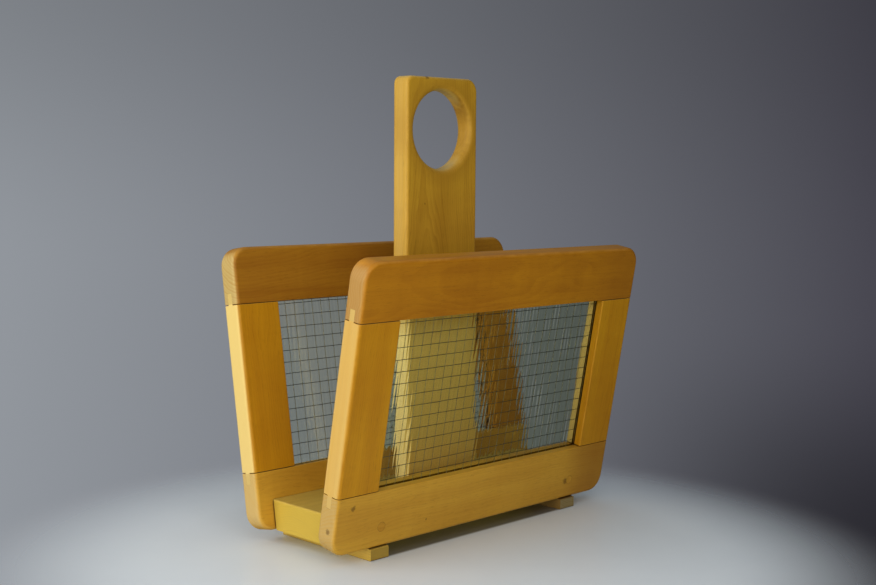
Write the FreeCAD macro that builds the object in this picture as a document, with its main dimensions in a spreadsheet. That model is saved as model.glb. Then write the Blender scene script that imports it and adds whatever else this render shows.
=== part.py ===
import FreeCAD, Part
import os
import Sketcher
from FreeCAD import Placement, Rotation, Vector

# A free-standing wooden magazine rack. Two glazed frames lean outward from a thick base board that
# stands on two cross battens, and a board with a round hand hole rises between them.
# Millimetres. +X runs along the frames, +Y from the front frame to the rear frame, +Z up.
# The origin is on the floor, under the middle of the frames.

FRONT, REAR = -1, 1
LEFT, RIGHT = -1, 1
SIDE_NAMES = {FRONT: "front", REAR: "rear"}
HAND_NAMES = {LEFT: "left", RIGHT: "right"}

SIZES = [
    ("front_frame_length", 434, "length of the front frame"),
    ("rear_frame_length", 430, "length of the rear frame, cut a little shorter"),
    ("frame_height", 300, "height of each side frame, along its slope"),
    ("frame_thickness", 24, "thickness of the rails and stiles"),
    ("splay", 9.5, "degrees that each frame leans out from upright"),
    ("top_rail_width", 60, "width of the top rail, along the slope"),
    ("bottom_rail_width", 62, "width of the bottom rail, along the slope"),
    ("stile_width", 55, "width of the stiles"),
    ("corner_radius", 20, "rounded outer corners of a frame"),
    ("arris_radius", 4.5, "rounding of a frame's outer edges"),
    ("seam_ease", 0.7, "slight rounding of the edges that meet at the seams"),
    ("glass_edge_ease", 1.6, "rounding of the stiles' edges beside the glass"),
    ("shoulder_gap", 0.6, "open glue line between a stile's shoulder and the rail"),
    ("groove_width", 7, "groove that holds the glass and the stub tenons"),
    ("groove_depth", 12, "depth of that groove"),
    ("tenon_fit", 0.1, "gap on each cheek of a stub tenon"),
    ("glass_thickness", 6, "thickness of the wired glass"),
    ("glass_clearance", 2, "gap between the pane's edge and the bottom of the groove"),
    ("wire_radius", 0.35, "radius of the wires cast into the glass"),
    ("wire_pitch", 12.7, "half-inch square mesh"),
    ("front_wire_rise", 6.3, "first level wire above the front bottom rail"),
    ("rear_wire_rise", 9.6, "first level wire above the rear bottom rail"),
    ("front_wire_shift", -2.6, "sideways shift of the front upright wires from mid-length"),
    ("rear_wire_shift", -3.3, "sideways shift of the rear upright wires from mid-length"),
    ("base_length", 390, "length of the base board"),
    ("base_width", 88.4, "width of the base board's underside, between the frames' bottom corners"),
    ("base_underside", 15.8, "height of the base board's underside above the floor"),
    ("base_top", 47.5, "height of the base board's top above the floor"),
    ("base_end_ease", 2, "rounding of the base board's end edges"),
    ("housing_depth", 10, "depth of the housing that takes the foot of the handle board"),
    ("handle_width", 110, "width of the handle board"),
    ("handle_thickness", 22.5, "thickness of the handle board"),
    ("handle_top", 495.7, "height of the handle board's top above the floor"),
    ("handle_foot_shift", -2.7, "the handle board's foot stands slightly left of mid-length"),
    ("handle_lean", 0.65, "degrees that the handle board leans to the left"),
    ("handle_left_corner", 8.5, "rounded top left corner of the handle board"),
    ("handle_right_corner", 14.5, "rounded top right corner of the handle board"),
    ("handle_arris_radius", 3.5, "rounding of the handle board's edges"),
    ("hand_hole_diameter", 85.5, "throat of the round hand hole"),
    ("hand_hole_height", 438.8, "height of the hand hole's centre above the floor"),
    ("hand_hole_rounding", 7.5, "rounding of the hand hole's rims"),
    ("foot_spacing", 303.6, "distance between the centres of the two feet"),
    ("foot_width", 25, "width of each foot"),
    ("foot_length", 139, "length of each foot, front to rear"),
    ("foot_ease", 1, "rounding of the foot's bottom end edges"),
    ("plug_radius", 5, "radius of the wood plugs over the frame screws"),
    ("plug_depth", 7, "depth of those plugs"),
    ("plug_gap", 0.2, "hairline between a plug and its bore"),
    ("plug_height", 22.6, "height of the plugs up the bottom rail"),
    ("shank_radius", 2.2, "radius of a wood screw's shank"),
    ("head_radius", 4.4, "radius of a countersunk screw head"),
    ("head_height", 3, "height of a countersunk screw head"),
    ("tip_length", 6, "length of a screw's point"),
    ("frame_screw_length", 45, "screws through the frames into the base board"),
    ("foot_screw_length", 30, "screws through the feet into the base board"),
    ("handle_screw_length", 60, "screws through the base board into the handle board"),
    ("head_recess", 2, "how far the screw heads from below are sunk"),
    ("recess_gap", 0.4, "gap round a sunk screw head"),
    ("foot_screw_spacing", 50, "distance between the two screws of a foot"),
    ("handle_screw_spacing", 60, "distance between the two screws of the handle board"),
]

# A wire closer than this to the pane's edge is left out of the pane.
WIRE_EDGE_MARGIN = 1.0

doc = FreeCAD.newDocument("MagazineRack")


# ---------------------------------------------------------------- sheet and small helpers

def make_sheet():
    """Puts every driving dimension in a cell of its own, with its name as the alias."""
    sheet = doc.addObject("Spreadsheet::Sheet", "dims")
    for row, (name, size, meaning) in enumerate(SIZES, start=1):
        sheet.set(f"A{row}", name)
        sheet.set(f"B{row}", str(size))
        sheet.set(f"C{row}", meaning)
        sheet.setAlias(f"B{row}", name)
    doc.recompute()
    return sheet


sheet = make_sheet()


def size(expression):
    """The present value of an expression over the sheet's cells."""
    return float(sheet.evalExpression(expression.replace("dims.", "")))


def times(sign, expression):
    """The expression, or its negative on the front or left side."""
    return expression if sign > 0 else f"-({expression})"


def bind(thing, **expressions):
    """Binds properties to sheet expressions. A double underscore in a name stands for a dot."""
    for name, expression in expressions.items():
        thing.setExpression(name.replace("__", "."), expression)
    return thing


def move_to(thing, x="0", y="0", z="0"):
    """Binds the three coordinates of a Placement to sheet expressions."""
    return bind(thing, Placement__Base__x=x, Placement__Base__y=y, Placement__Base__z=z)


def lean_with_frame(thing, side):
    """Places a piece drawn in a frame's own axes: local Z runs up the frame's slope from its bottom
    edge, and local Y runs outward from its inner face."""
    thing.Placement = Placement(Vector(0, 0, 0), Rotation(Vector(1, 0, 0), 1))
    bind(thing, Placement__Rotation__Angle=times(-side, "dims.splay"))
    return move_to(thing, y=times(side, "dims.base_width / 2"), z="dims.base_underside")


def new_body(label):
    body = doc.addObject("PartDesign::Body", label)
    body.Label = label
    return body


def new_sketch(body, name, role, offset="0"):
    """A sketch on one of the body's own origin planes, moved along the plane's normal by offset."""
    sketch = body.newObject("Sketcher::SketchObject", name)
    plane = next(item for item in body.Origin.OriginFeatures if item.Role == role)
    sketch.AttachmentSupport = [(plane, "")]
    sketch.MapMode = "FlatFace"
    return bind(sketch, AttachmentOffset__Base__z=offset)


def draw_outline(sketch, corners):
    """Draws a closed outline through corners, each an (x, y) pair of sheet expressions."""
    points = [Vector(size(x), size(y), 0) for x, y in corners]
    count = len(points)
    for index in range(count):
        sketch.addGeometry(Part.LineSegment(points[index], points[(index + 1) % count]))
    for index in range(count):
        sketch.addConstraint(Sketcher.Constraint("Coincident", index, 2, (index + 1) % count, 1))
    for index, (x, y) in enumerate(corners):
        for kind, expression in (("DistanceX", x), ("DistanceY", y)):
            rule = Sketcher.Constraint(kind, -1, 1, index, 1, size(expression))
            sketch.setExpression(f"Constraints[{sketch.addConstraint(rule)}]", expression)
    return sketch


def rectangle(left, right, low, high):
    return [(left, low), (right, low), (right, high), (left, high)]


def pad(body, name, sketch, length, reverse=False, midplane=False):
    feature = body.newObject("PartDesign::Pad", name)
    feature.Profile = sketch
    feature.Reversed = reverse
    feature.Midplane = midplane
    bind(feature, Length=length)
    doc.recompute()
    return feature


def pocket(body, name, sketch, length, reverse=False, midplane=False):
    """Cuts a pocket and makes sure that it took material away."""
    before = body.Shape.Volume
    feature = body.newObject("PartDesign::Pocket", name)
    feature.Profile = sketch
    feature.Reversed = reverse
    feature.Midplane = midplane
    bind(feature, Length=length)
    doc.recompute()
    if not feature.Shape.Volume < before:
        raise RuntimeError(f"{body.Label}: {name} cuts nothing")
    return feature


def round_edges(body, name, base, radius, keep):
    """Rounds those edges of the body's feature that the test keep accepts."""
    names = [f"Edge{number}" for number, edge in enumerate(base.Shape.Edges, start=1) if keep(edge)]
    if not names:
        raise RuntimeError(f"{body.Label}: {name} finds no edges")
    feature = body.newObject("PartDesign::Fillet", name)
    feature.Base = (base, names)
    bind(feature, Radius=radius)
    doc.recompute()
    return feature


def near(first, second):
    return abs(first - second) < 0.01


def lies_in(edge, axis, place):
    """Whether the whole edge lies in the plane where the coordinate on axis ("x", "y", "z") is place."""
    box = edge.BoundBox
    low, high = getattr(box, axis.upper() + "Min"), getattr(box, axis.upper() + "Max")
    return abs(low - place) < 0.05 and abs(high - place) < 0.05


def middle(edge):
    return edge.valueAt((edge.FirstParameter + edge.LastParameter) / 2)


def group(label, things):
    """One node that holds several separate solids."""
    compound = doc.addObject("Part::Compound", label)
    compound.Label = label
    compound.Links = things
    return compound


def bored(label, blank, cutters):
    """The blank with every cutter's shape taken out of it."""
    cut = doc.addObject("Part::Cut", label)
    cut.Label = label
    cut.Base = blank
    cut.Tool = group(label + "_cutters", cutters)
    return cut


# ---------------------------------------------------------------- side frames

def length_of(side):
    return f"dims.{SIDE_NAMES[side]}_frame_length"


def on_face(edge, side):
    """Whether the edge lies in a frame's inner or outer face, in the frame's own axes."""
    return lies_in(edge, "y", 0) or lies_in(edge, "y", side * size("dims.frame_thickness"))


def make_rail(side, top):
    """A full-length rail: rounded outer corners, a groove along the edge that faces the glass."""
    label = f"{SIDE_NAMES[side]}_{'top' if top else 'bottom'}_rail" + ("" if top else "_blank")
    outer_edge = "dims.frame_height" if top else "0"
    seam = "dims.frame_height - dims.top_rail_width" if top else "dims.bottom_rail_width"
    groove_floor = f"{seam} + dims.groove_depth" if top else f"{seam} - dims.groove_depth"
    low, high = (seam, outer_edge) if top else (outer_edge, seam)
    body = new_body(label)

    profile = new_sketch(body, "profile", "XZ_Plane")
    draw_outline(profile, rectangle(f"-{length_of(side)} / 2", f"{length_of(side)} / 2", low, high))
    plank = pad(body, "plank", profile, "dims.frame_thickness", reverse=side > 0)

    corners = round_edges(
        body, "corners", plank, "dims.corner_radius",
        lambda edge: near(abs(middle(edge).x), size(f"{length_of(side)} / 2"))
        and lies_in(edge, "z", size(outer_edge)))

    section = new_sketch(body, "groove_section", "YZ_Plane")
    near_wall = times(side, "(dims.frame_thickness - dims.groove_width) / 2")
    far_wall = times(side, "(dims.frame_thickness + dims.groove_width) / 2")
    draw_outline(section, rectangle(near_wall, far_wall, groove_floor, seam))
    groove = pocket(body, "groove", section, length_of(side), midplane=True)

    rounded = round_edges(
        body, "outer_edges", groove, "dims.arris_radius",
        lambda edge: on_face(edge, side) and abs(middle(edge).z - size(seam)) > 2)
    body.Tip = round_edges(
        body, "seam_edges", rounded, "dims.seam_ease",
        lambda edge: on_face(edge, side) and lies_in(edge, "z", size(seam)))
    return body


def make_stile(side, hand):
    """An upright between the rails: a stub tenon at each end and a groove for the glass."""
    body = new_body(f"{SIDE_NAMES[side]}_{HAND_NAMES[hand]}_stile")
    outer = times(hand, f"{length_of(side)} / 2")
    inner = times(hand, f"{length_of(side)} / 2 - dims.stile_width")
    low = "dims.bottom_rail_width + dims.shoulder_gap"
    high = "dims.frame_height - dims.top_rail_width - dims.shoulder_gap"

    profile = new_sketch(body, "profile", "XZ_Plane")
    draw_outline(profile, rectangle(outer, inner, low, high))
    post = pad(body, "post", profile, "dims.frame_thickness", reverse=side > 0)

    rounded = round_edges(
        body, "outer_edges", post, "dims.arris_radius",
        lambda edge: on_face(edge, side) and near(middle(edge).x, size(outer)))
    softened = round_edges(
        body, "glass_edges", rounded, "dims.glass_edge_ease",
        lambda edge: on_face(edge, side) and lies_in(edge, "x", size(inner)))
    seams = (size(low), size(high))
    round_edges(
        body, "seam_edges", softened, "dims.seam_ease",
        lambda edge: on_face(edge, side) and any(lies_in(edge, "z", seam) for seam in seams))

    tenon_section = new_sketch(body, "tenon_section", "YZ_Plane", offset=inner)
    near_cheek = times(side, "(dims.frame_thickness - dims.groove_width) / 2 + dims.tenon_fit")
    far_cheek = times(side, "(dims.frame_thickness + dims.groove_width) / 2 - dims.tenon_fit")
    draw_outline(tenon_section, rectangle(
        near_cheek, far_cheek,
        "dims.bottom_rail_width - dims.groove_depth + dims.tenon_fit",
        "dims.frame_height - dims.top_rail_width + dims.groove_depth - dims.tenon_fit"))
    pad(body, "tenons", tenon_section, "dims.stile_width", reverse=hand < 0)

    groove_section = new_sketch(body, "groove_section", "XY_Plane")
    near_wall = times(side, "(dims.frame_thickness - dims.groove_width) / 2")
    far_wall = times(side, "(dims.frame_thickness + dims.groove_width) / 2")
    groove_floor = times(hand, f"{length_of(side)} / 2 - dims.stile_width + dims.groove_depth")
    draw_outline(groove_section, rectangle(groove_floor, inner, near_wall, far_wall))
    body.Tip = pocket(body, "groove", groove_section, "2 * dims.frame_height", midplane=True)
    return lean_with_frame(body, side)


def make_wires(side):
    """The wires cast into a pane, in the frame's own axes: level ones and upright ones side by side."""
    rise = f"dims.{SIDE_NAMES[side]}_wire_rise"
    shift = f"dims.{SIDE_NAMES[side]}_wire_shift"
    reach = "(dims.groove_depth - dims.glass_clearance)"
    half_length = f"({length_of(side)} / 2 - dims.stile_width + {reach})"
    pane_low = f"(dims.bottom_rail_width - {reach})"
    pane_high = f"(dims.frame_height - dims.top_rail_width + {reach})"
    middle_plane = "dims.frame_thickness / 2"
    pitch = size("dims.wire_pitch")
    wires = []

    def add_wire(length, turn, **place):
        wire = doc.addObject("Part::Cylinder", f"{SIDE_NAMES[side]}_wire")
        wire.Placement = Placement(Vector(0, 0, 0), turn)
        bind(wire, Radius="dims.wire_radius", Height=length)
        wires.append(move_to(wire, **place))

    level_steps = range(-2, int(size("dims.frame_height") / pitch))
    for step in level_steps:
        height = f"dims.bottom_rail_width + {rise} + {step} * dims.wire_pitch"
        if size(pane_low) + WIRE_EDGE_MARGIN < size(height) < size(pane_high) - WIRE_EDGE_MARGIN:
            add_wire(
                f"2 * {half_length}", Rotation(Vector(0, 1, 0), 90), x=f"-{half_length}",
                y=times(side, f"{middle_plane} + dims.wire_radius"), z=height)

    most = int(size(length_of(side)) / pitch / 2)
    for step in range(-most, most + 1):
        across = f"{shift} + {step} * dims.wire_pitch"
        if abs(size(across)) < size(half_length) - WIRE_EDGE_MARGIN:
            add_wire(
                f"{pane_high} - {pane_low}", Rotation(), x=across,
                y=times(side, f"{middle_plane} - dims.wire_radius"), z=pane_low)
    return wires


def make_pane(side, wires):
    """The pane of cast glass, with a bore for every wire, and the wires as a second node."""
    reach = "(dims.groove_depth - dims.glass_clearance)"
    blank = doc.addObject("Part::Box", f"{SIDE_NAMES[side]}_pane_blank")
    bind(
        blank, Width="dims.glass_thickness",
        Length=f"{length_of(side)} - 2 * dims.stile_width + 2 * {reach}",
        Height=f"dims.frame_height - dims.top_rail_width - dims.bottom_rail_width + 2 * {reach}")
    inner_face = "(dims.frame_thickness - dims.glass_thickness) / 2"
    outer_face = "(dims.frame_thickness + dims.glass_thickness) / 2"
    move_to(
        blank, x=f"-{length_of(side)} / 2 + dims.stile_width - {reach}",
        y=inner_face if side > 0 else f"-({outer_face})", z=f"dims.bottom_rail_width - {reach}")
    pane = lean_with_frame(bored(f"{SIDE_NAMES[side]}_wired_glass", blank, wires), side)
    mesh = lean_with_frame(group(f"{SIDE_NAMES[side]}_wire_mesh", wires), side)
    return [pane, mesh]


# ---------------------------------------------------------------- screws and plugs

def make_screw(name, length, turn=Rotation(), **place):
    """A countersunk wood screw. Its own Z axis is the way it is driven, from the head's flat."""
    head = doc.addObject("Part::Cone", name + "_head")
    bind(head, Radius1="dims.head_radius", Radius2="dims.shank_radius", Height="dims.head_height")
    shank = doc.addObject("Part::Cylinder", name + "_shank")
    bind(shank, Radius="dims.shank_radius", Height=f"{length} - dims.tip_length")
    point = doc.addObject("Part::Cone", name + "_point")
    point.Radius2 = 0
    bind(point, Radius1="dims.shank_radius", Height="dims.tip_length")
    move_to(point, z=f"{length} - dims.tip_length")
    screw = doc.addObject("Part::MultiFuse", name)
    screw.Shapes = [head, shank, point]
    screw.Refine = True
    screw.Placement = Placement(Vector(0, 0, 0), turn)
    return move_to(screw, **place)


def make_disc(name, radius, height, turn=Rotation(), **place):
    disc = doc.addObject("Part::Cylinder", name)
    disc.Placement = Placement(Vector(0, 0, 0), turn)
    bind(disc, Radius=radius, Height=height)
    return move_to(disc, **place)


def make_frame_fasteners(side):
    """Two screws through a bottom rail and the plugs over their heads, in the frame's own axes."""
    inward = Rotation(Vector(1, 0, 0), 90 * side)
    screws, plugs, bores = [], [], []
    for hand in (LEFT, RIGHT):
        name = f"{SIDE_NAMES[side]}_{HAND_NAMES[hand]}"
        x = times(hand, "dims.foot_spacing / 2")
        face = times(side, "dims.frame_thickness")
        head = times(side, "dims.frame_thickness - dims.plug_depth")
        z = "dims.plug_height"
        screws.append(make_screw(name + "_screw", "dims.frame_screw_length", inward, x=x, y=head, z=z))
        plugs.append(make_disc(
            name + "_plug", "dims.plug_radius", "dims.plug_depth", inward, x=x, y=face, z=z))
        bores.append(make_disc(
            name + "_plug_bore", "dims.plug_radius + dims.plug_gap", "dims.plug_depth", inward,
            x=x, y=face, z=z))
    screw_node = lean_with_frame(group(f"{SIDE_NAMES[side]}_frame_screws", screws), side)
    plug_node = lean_with_frame(group(f"{SIDE_NAMES[side]}_screw_plugs", plugs), side)
    return screw_node, plug_node, screws + bores


def make_sunk_screws(name, length, places):
    """Screws driven upward from below, with the recesses that sink their heads."""
    screws, recesses = [], []
    for number, (x, y, underside) in enumerate(places, start=1):
        screws.append(make_screw(
            f"{name}_{number}", length, x=x, y=y, z=f"{underside} + dims.head_recess"))
        recesses.append(make_disc(
            f"{name}_recess_{number}", "dims.head_radius + dims.recess_gap", "dims.head_recess",
            x=x, y=y, z=underside))
    return screws, recesses


# ---------------------------------------------------------------- base, handle and feet

def make_base_blank():
    """The base board: a thick plank whose long sides are bevelled to the frames' lean."""
    body = new_body("base_board_blank")
    half_low = "dims.base_width / 2"
    half_high = "(dims.base_width / 2 + (dims.base_top - dims.base_underside) * tan(dims.splay))"
    section = new_sketch(body, "section", "YZ_Plane")
    draw_outline(section, [
        (f"-{half_low}", "dims.base_underside"),
        (half_low, "dims.base_underside"),
        (half_high, "dims.base_top"),
        (f"-{half_high}", "dims.base_top"),
    ])
    plank = pad(body, "plank", section, "dims.base_length", midplane=True)
    body.Tip = round_edges(
        body, "end_edges", plank, "dims.base_end_ease",
        lambda edge: lies_in(edge, "x", middle(edge).x)
        and near(abs(middle(edge).x), size("dims.base_length / 2"))
        and not near(middle(edge).z, size("dims.base_underside")))
    return body


def make_handle_blank():
    """The upright board: rounded top corners, a round hand hole, and every edge rounded over. It is
    drawn upright from its own foot, then leaned and let into the base board."""
    body = new_body("handle_board_blank")
    foot = "(dims.base_top - dims.housing_depth)"
    profile = new_sketch(body, "profile", "XZ_Plane")
    draw_outline(profile, rectangle(
        "-dims.handle_width / 2", "dims.handle_width / 2", "0", f"dims.handle_top - {foot}"))
    board = pad(body, "board", profile, "dims.handle_thickness", midplane=True)

    def is_top_corner(edge, hand):
        return near(middle(edge).y, 0) and lies_in(edge, "z", size(f"dims.handle_top - {foot}")) \
            and lies_in(edge, "x", hand * size("dims.handle_width / 2"))

    left_round = round_edges(
        body, "left_corner", board, "dims.handle_left_corner", lambda edge: is_top_corner(edge, LEFT))
    corners = round_edges(
        body, "right_corner", left_round, "dims.handle_right_corner",
        lambda edge: is_top_corner(edge, RIGHT))

    ring = new_sketch(body, "hand_hole_ring", "XZ_Plane")
    height = f"dims.hand_hole_height - {foot}"
    ring.addGeometry(Part.Circle(
        Vector(0, size(height), 0), Vector(0, 0, 1), size("dims.hand_hole_diameter / 2")))
    ring.addConstraint(Sketcher.Constraint("PointOnObject", 0, 3, -2))
    rule = ring.addConstraint(Sketcher.Constraint("DistanceY", -1, 1, 0, 3, size(height)))
    ring.setExpression(f"Constraints[{rule}]", height)
    rule = ring.addConstraint(Sketcher.Constraint("Diameter", 0, size("dims.hand_hole_diameter")))
    ring.setExpression(f"Constraints[{rule}]", "dims.hand_hole_diameter")
    hole = pocket(body, "hand_hole", ring, "2 * dims.handle_thickness", midplane=True)

    def on_board_face(edge):
        return any(lies_in(edge, "y", half * size("dims.handle_thickness / 2")) for half in (-1, 1))

    rims = round_edges(
        body, "hand_hole_rims", hole, "dims.hand_hole_rounding",
        lambda edge: on_board_face(edge) and edge.Closed)
    body.Tip = round_edges(
        body, "outer_edges", rims, "dims.handle_arris_radius",
        lambda edge: on_board_face(edge) and not edge.Closed and middle(edge).z > 1)

    body.Placement = Placement(Vector(0, 0, 0), Rotation(Vector(0, 1, 0), 1))
    bind(body, Placement__Rotation__Angle="-dims.handle_lean")
    return move_to(body, x="dims.handle_foot_shift", z=foot)


def make_foot_blank(hand):
    """A cross batten: flat under the base board, falling away under the frames' sloping bottoms."""
    body = new_body(f"{HAND_NAMES[hand]}_foot_blank")
    end = "dims.foot_length / 2"
    shoulder = "dims.base_width / 2"
    end_height = f"(dims.base_underside - ({end} - {shoulder}) * tan(dims.splay))"
    section = new_sketch(body, "section", "YZ_Plane", offset=times(hand, "dims.foot_spacing / 2"))
    draw_outline(section, [
        (f"-{end}", "0"),
        (end, "0"),
        (end, end_height),
        (shoulder, "dims.base_underside"),
        (f"-{shoulder}", "dims.base_underside"),
        (f"-{end}", end_height),
    ])
    batten = pad(body, "batten", section, "dims.foot_width", midplane=True)
    body.Tip = round_edges(
        body, "end_edges", batten, "dims.foot_ease",
        lambda edge: lies_in(edge, "z", 0) and near(abs(middle(edge).y), size(end)))
    return body


# ---------------------------------------------------------------- the whole rack

def make_frame(side):
    """The nodes of one side frame."""
    screws, plugs, cutters = make_frame_fasteners(side)
    top_rail = lean_with_frame(make_rail(side, top=True), side)
    bottom_rail = bored(f"{SIDE_NAMES[side]}_bottom_rail", make_rail(side, top=False), cutters)
    lean_with_frame(bottom_rail, side)
    stiles = [make_stile(side, hand) for hand in (LEFT, RIGHT)]
    panes = make_pane(side, make_wires(side))
    return [top_rail, bottom_rail, screws, plugs] + stiles + panes


def make_rack():
    nodes = make_frame(FRONT) + make_frame(REAR)
    frame_screws = [node for node in nodes if node.Label.endswith("frame_screws")]

    foot_screws, foot_recesses = make_sunk_screws("foot_screw", "dims.foot_screw_length", [
        (times(hand, "dims.foot_spacing / 2"), times(side, "dims.foot_screw_spacing / 2"), "0")
        for hand in (LEFT, RIGHT) for side in (FRONT, REAR)])
    handle_screws, handle_recesses = make_sunk_screws("handle_screw", "dims.handle_screw_length", [
        (f"dims.handle_foot_shift + {hand} * dims.handle_screw_spacing / 2", "0", "dims.base_underside")
        for hand in (LEFT, RIGHT)])

    handle_blank = make_handle_blank()
    handle = bored("handle_board", handle_blank, handle_screws)
    base = bored(
        "base_board", make_base_blank(),
        [handle_blank] + frame_screws + foot_screws + handle_screws + handle_recesses)
    feet = []
    for hand, own in ((LEFT, slice(0, 2)), (RIGHT, slice(2, 4))):
        feet.append(bored(
            f"{HAND_NAMES[hand]}_foot", make_foot_blank(hand), foot_screws[own] + foot_recesses[own]))
    return nodes + [
        base,
        handle,
        *feet,
        group("foot_screws", foot_screws),
        group("handle_screws", handle_screws),
    ]


def check(nodes):
    """Stops if any object failed to build, or any node's shape is missing or invalid."""
    for item in doc.Objects:
        if "Invalid" in item.State or "Error" in item.State:
            raise RuntimeError(f"{item.Label} failed: {item.State}")
    for node in nodes:
        if node.Shape.isNull() or not node.Shape.isValid() or not node.Shape.Solids:
            raise RuntimeError(f"{node.Label} has no valid solid")


def export(nodes):
    os.makedirs("parts", exist_ok=True)
    for node in nodes:
        node.Shape.exportStep(f"parts/{node.Label}.step")


rack = make_rack()
doc.recompute()
check(rack)
export(rack)
for node in rack:
    box = node.Shape.BoundBox
    print(f"{node.Label}: {len(node.Shape.Solids)} solids, {box.XLength:.1f} x {box.YLength:.1f}"
          f" x {box.ZLength:.1f} mm, {node.Shape.Volume / 1000:.1f} cm3")
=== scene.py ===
import math

import bmesh
import bpy
import numpy as np
from mathutils import Matrix, Vector


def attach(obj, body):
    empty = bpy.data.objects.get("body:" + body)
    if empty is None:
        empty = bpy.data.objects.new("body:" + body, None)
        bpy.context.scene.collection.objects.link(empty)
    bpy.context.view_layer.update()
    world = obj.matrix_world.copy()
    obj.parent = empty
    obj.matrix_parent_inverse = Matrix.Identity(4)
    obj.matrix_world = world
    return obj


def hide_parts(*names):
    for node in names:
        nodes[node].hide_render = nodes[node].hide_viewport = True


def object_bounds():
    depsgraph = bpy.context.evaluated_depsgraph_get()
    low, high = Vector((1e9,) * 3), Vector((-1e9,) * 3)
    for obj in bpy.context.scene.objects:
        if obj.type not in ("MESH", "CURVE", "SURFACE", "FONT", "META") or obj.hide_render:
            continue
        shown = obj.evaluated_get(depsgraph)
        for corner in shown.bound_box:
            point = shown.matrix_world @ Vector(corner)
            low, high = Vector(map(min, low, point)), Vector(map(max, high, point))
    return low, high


# A wooden magazine rack with splayed frames glazed in wired glass. Metres, in the rack's own frame:
# +X along the frames, +Y from the front frame to the rear one, +Z up, the origin on the floor.

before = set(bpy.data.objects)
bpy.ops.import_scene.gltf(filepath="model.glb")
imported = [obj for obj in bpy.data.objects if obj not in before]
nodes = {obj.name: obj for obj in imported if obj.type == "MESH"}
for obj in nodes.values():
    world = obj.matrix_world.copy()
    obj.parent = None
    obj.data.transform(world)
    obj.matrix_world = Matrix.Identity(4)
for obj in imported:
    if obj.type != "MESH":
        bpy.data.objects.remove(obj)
cad_low, cad_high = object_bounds()

MM = 0.001
FRONT, REAR = -1, 1
SIDE_NAMES = {FRONT: "front", REAR: "rear"}
SPLAY = math.radians(9.5)          # how far each frame leans out from upright


def upright_axes(side):
    """Turns a point of the rack into the axes of a frame on that side, where Z runs up its slope. With
    side 0 the rack's own axes stay."""
    return Matrix.Rotation(side * SPLAY, 3, "X")


def box_in_axes(points, axes):
    """Lowest and highest corners of some points, seen in turned axes."""
    turned = np.array(points) @ np.array(axes).T
    return turned.min(0), turned.max(0)


def points_of(node):
    mesh = nodes[node].data
    points = np.zeros(len(mesh.vertices) * 3)
    mesh.vertices.foreach_get("co", points)
    return points.reshape(-1, 3)


# ---------------------------------------------------------------- node helpers

class Shader:
    """The node tree of a new material or world, built by short calls that return output sockets."""

    def __init__(self, owner):
        owner.use_nodes = True
        self.owner = owner
        self.tree = owner.node_tree
        self.tree.nodes.clear()

    def put(self, socket, value):
        """Links a socket, or sets a plain value."""
        if isinstance(value, bpy.types.NodeSocket):
            self.tree.links.new(value, socket)
        elif value is not None:
            socket.default_value = value

    def node(self, kind, inputs=None, **settings):
        made = self.tree.nodes.new(kind)
        for name, value in settings.items():
            setattr(made, name, value)
        for name, value in (inputs or {}).items():
            self.put(made.inputs[name], value)
        return made

    def math(self, operation, first, second=None, third=None, clamp=False):
        made = self.node("ShaderNodeMath", operation=operation, use_clamp=clamp)
        for socket, value in zip(made.inputs, (first, second, third)):
            self.put(socket, value)
        return made.outputs[0]

    def times(self, first, second, clamp=False):
        return self.math("MULTIPLY", first, second, clamp=clamp)

    def times_add(self, first, factor, added):
        return self.math("MULTIPLY_ADD", first, factor, added)

    def vector_math(self, operation, first, second=None):
        made = self.node("ShaderNodeVectorMath", operation=operation)
        self.put(made.inputs[0], first)
        self.put(made.inputs[1], second)
        return made.outputs["Value" if operation in ("DOT_PRODUCT", "LENGTH", "DISTANCE") else "Vector"]

    def scaled(self, vector, factors):
        return self.vector_math("MULTIPLY", vector, factors)

    def spread(self, value, low, high, to_low=0.0, to_high=1.0, smooth=True):
        """Carries a value from the range low..high to to_low..to_high."""
        kind = "SMOOTHSTEP" if smooth else "LINEAR"
        made = self.node("ShaderNodeMapRange", interpolation_type=kind, clamp=True, inputs={
            "Value": value, "From Min": low, "From Max": high, "To Min": to_low, "To Max": to_high})
        return made.outputs["Result"]

    def noise(self, vector, scale=1.0, detail=2.0, roughness=0.5):
        made = self.node("ShaderNodeTexNoise", inputs={
            "Vector": vector, "Scale": scale, "Detail": detail, "Roughness": roughness})
        return made.outputs["Fac"]

    def mix(self, share, first, second, blend="MIX"):
        made = self.node("ShaderNodeMix", data_type="RGBA", blend_type=blend, clamp_factor=True)
        for index, value in ((0, share), (6, first), (7, second)):
            self.put(made.inputs[index], value)
        return made.outputs[2]

    def bump(self, strength, distance, height, normal=None):
        inputs = {"Strength": strength, "Distance": distance, "Height": height, "Normal": normal}
        return self.node("ShaderNodeBump", inputs).outputs[0]

    def parts(self, vector):
        return self.node("ShaderNodeSeparateXYZ", inputs={"Vector": vector}).outputs[:3]

    def join(self, x, y, z):
        return self.node("ShaderNodeCombineXYZ", inputs={"X": x, "Y": y, "Z": z}).outputs[0]

    def blend(self, share, first, second):
        """Mixes two surfaces."""
        mixed = self.node("ShaderNodeMixShader", {"Fac": share})
        self.put(mixed.inputs[1], first.outputs[0])
        self.put(mixed.inputs[2], second.outputs[0])
        return mixed

    def finish(self, surface):
        """Joins the last node to the output and gives back the material or world."""
        kind = "World" if isinstance(self.owner, bpy.types.World) else "Material"
        output = self.node("ShaderNodeOutput" + kind)
        self.put(output.inputs["Surface"], surface.outputs[0])
        return self.owner


def rgb(red, green, blue):
    return (red, green, blue, 1.0)


# ---------------------------------------------------------------- wood

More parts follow.
